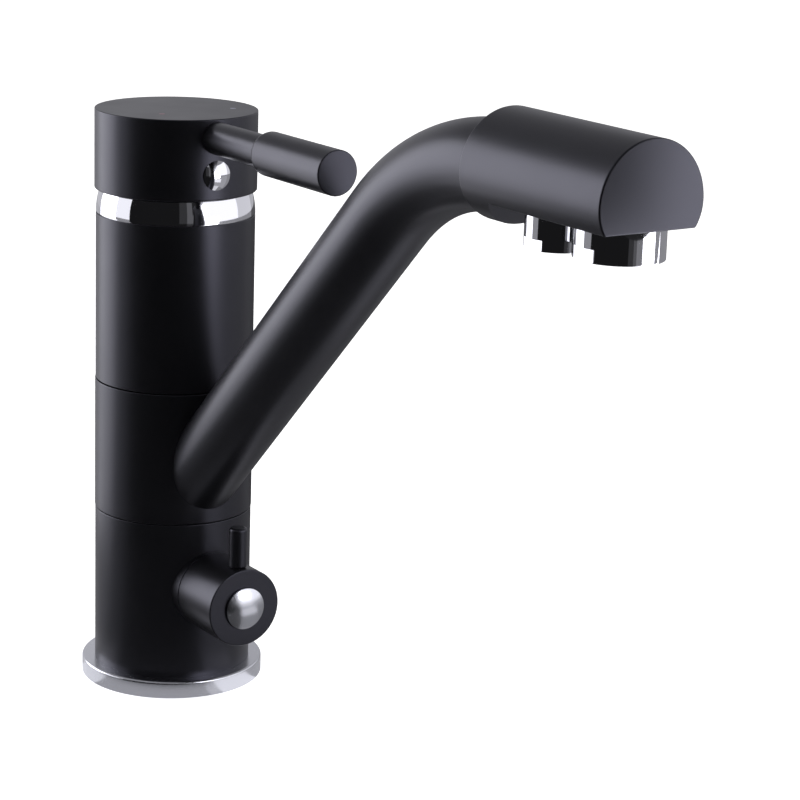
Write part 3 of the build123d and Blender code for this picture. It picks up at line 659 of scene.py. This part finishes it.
# Studio, in metres: a white floor and sky for the camera, sheets round the tap that only
# reflections see, and soft lamps
white = (1, 1, 1, 1)
studio = {"floorSize": 30.0, "skyLight": 0.35, "floorGlow": 0.8, "floorTone": "#f2f2f2",
          "sheetColour": (0.98, 0.98, 1.04, 1)}
d = studio
sky = bpy.data.worlds.new("studioSky")
bpy.context.scene.world = sky
sky.use_nodes = True
tree = sky.node_tree
tree.nodes["Background"].inputs["Color"].default_value = white
tree.links.new(addRays(tree, d["skyLight"], 1.0), tree.nodes["Background"].inputs["Strength"])

floorPaint = bpy.data.materials.new("studioFloorPaint")
floorPaint.use_nodes = True
tree = floorPaint.node_tree
shader = tree.nodes["Principled BSDF"]
shader.inputs["Base Color"].default_value = toLinear(d["floorTone"])
shader.inputs["Roughness"].default_value = 0.9
shader.inputs["Specular IOR Level"].default_value = 0.0
shader.inputs["Emission Color"].default_value = white
tree.links.new(addRays(tree, 0.0, d["floorGlow"]), shader.inputs["Emission Strength"])
half = d["floorSize"] / 2
addSheet("studioFloor", [(-half, -half, 0), (half, -half, 0), (half, half, 0),
                         (-half, half, 0)], [(0, 1, 2, 3)], floorPaint)

# Sheets by angle about Z: the wall's level, then floor bands of (outer radius, level) from
# the base ring's edge outwards
room = {"radius": 1.3, "height": 0.86, "lift": 0.0002, "ceiling": 0.3, "ringEdge": 0.0292}
sectors = {
    "backLeft": {"from": 60, "to": 105, "wall": 0.6,
                 "floor": [(0.05, 0.55), (0.18, 0.35), (1.3, 0.5)]},
    "softLeft": {"from": 105, "to": 146, "wall": 3.4,
                 "floor": [(0.05, 0.55), (0.18, 0.4), (0.45, 1.6), (1.3, 2.5)]},
    "left": {"from": 146, "to": 172, "wall": 1.15,
             "floor": [(0.05, 0.9), (0.18, 0.2), (1.3, 0.3)]},
    "leftEdge": {"from": 172, "to": 182, "wall": 0.01,
                 "floor": [(0.04, 0.9), (0.15, 0.07), (1.3, 0.01)]},
    "darkFront": {"from": 182, "to": 246, "wall": 0.01,
                  "floor": [(0.04, 0.44), (0.15, 0.07), (1.3, 0.01)]},
    "dimFront": {"from": 246, "to": 257, "wall": 0.04,
                 "floor": [(0.04, 0.44), (0.15, 0.07), (1.3, 0.01)]},
    "fadeFront": {"from": 257, "to": 267, "wall": 0.12,
                  "floor": [(0.04, 0.44), (0.15, 0.07), (0.8, 0.01), (1.3, 0.04)]},
    "nearFront": {"from": 267, "to": 276, "wall": 0.35,
                  "floor": [(0.04, 0.65), (0.15, 0.07), (0.8, 0.01), (1.3, 0.1)]},
    "rightFront": {"from": 276, "to": 311, "wall": 1.3,
                   "floor": [(0.05, 1.05), (0.1, 0.3), (0.19, 0.8), (0.3, 0.4), (0.5, 1.1),
                             (1.3, 0.4)]},
    "right": {"from": 311, "to": 341, "wall": 1.3,
              "floor": [(0.05, 0.45), (0.18, 0.25), (0.9, 0.4), (1.3, 0.3)]},
    "backRight": {"from": 341, "to": 380, "wall": 0.75,
                  "floor": [(0.05, 0.42), (0.18, 0.2), (1.3, 0.3)]},
    "back": {"from": 380, "to": 420, "wall": 0.5,
             "floor": [(0.05, 0.55), (0.18, 0.2), (1.3, 0.1)]},
}
d = room
for name, own in sectors.items():
    addArc(name + "Wall", own["from"], own["to"], (d["radius"], d["lift"]),
           (d["radius"], d["height"]), own["wall"])
    addArc(name + "Ceiling", own["from"], own["to"], (0.0, d["height"]),
           (d["radius"], d["height"]), d["ceiling"])
    inner = d["ringEdge"]
    for outer, level in own["floor"]:
        addArc(name + "Floor", own["from"], own["to"], (inner, d["lift"]),
               (outer, d["lift"]), level)
        inner = outer

# Sheets in one plane before the head: bright and dark ones for the shade on its end face,
# and lower ones for the bands on the outlets and for the end of the lever's grip
frontPlane = -0.276
frontPanels = {
    "headLight": {"left": 0.037, "right": 0.07, "low": 0.176, "high": 0.24, "level": 4.2},
    "headShade": {"left": -0.03, "right": 0.037, "low": 0.176, "high": 0.3, "level": 0.02},
    "outletLight": {"left": 0.0145, "right": 0.07, "low": 0.08, "high": 0.176, "level": 3.8},
    "gripLight": {"left": 0.07, "right": 0.18, "low": 0.08, "high": 0.152, "level": 4.2},
    "outletFade": {"left": 0.0, "right": 0.0145, "low": 0.08, "high": 0.176, "level": 0.22},
}
panelCorners = (("left", "low"), ("right", "low"), ("right", "high"), ("left", "high"))
for name, own in frontPanels.items():
    corners = [(own[side], frontPlane, own[end]) for side, end in panelCorners]
    addGlow(name, corners, [(0, 1, 2, 3)], own["level"])

# Lamps that look at the middle of the tap, each as far off as it says
lamps = {
    "leftSoftbox": {"aim": (-0.528, 0.846, 0.22), "far": 1.3, "wide": 0.9, "tall": 0.7,
                    "watts": 12.0},
    "rightSoftbox": {"aim": (0.55, -0.80, 0.1), "far": 1.4, "wide": 1.0, "tall": 0.8,
                     "watts": 5.0},
    "topSoftbox": {"aim": (0.1, 0.35, 1.0), "far": 1.4, "wide": 0.8, "tall": 0.8,
                   "watts": 2.0},
}
target = np.array([0.0, -0.08, 0.11])
for name, own in lamps.items():
    lamp = bpy.data.lights.new(name, "AREA")
    lamp.shape = "RECTANGLE"
    lamp.size = own["wide"]
    lamp.size_y = own["tall"]
    lamp.energy = own["watts"]
    holder = bpy.data.objects.new(name, lamp)
    bpy.context.scene.collection.objects.link(holder)
    out = unit(np.array(own["aim"]))
    side = unit(np.cross([0, 0, 1], out))
    rise = np.cross(out, side)
    turn = Matrix(np.column_stack([side, rise, out]).tolist()).to_4x4()
    holder.matrix_world = Matrix.Translation((target + out * own["far"]).tolist()) @ turn
    holder.visible_camera = holder.visible_glossy = False

# Camera, from the fit to the photograph's outlines, with its spot in millimetres
view = {"spot": (-398.0, -709.9, 303.76), "right": (0.82944, -0.55778, 0.03041),
        "up": (0.11605, 0.22531, 0.96735), "back": (-0.54641, -0.79882, 0.25161),
        "lens": 117.83, "sensor": 36.0, "clip": 100.0}
eye = bpy.data.cameras.new("photoCamera")
eye.lens = view["lens"]
eye.sensor_width = view["sensor"]
eye.clip_end = view["clip"]
camera = bpy.data.objects.new("photoCamera", eye)
bpy.context.scene.collection.objects.link(camera)
turn = Matrix(np.column_stack([view["right"], view["up"], view["back"]]).tolist()).to_4x4()
camera.matrix_world = Matrix.Translation([value * mm for value in view["spot"]]) @ turn
bpy.context.scene.camera = camera
bpy.context.scene.view_settings.view_transform = "Standard"

print("studio set")
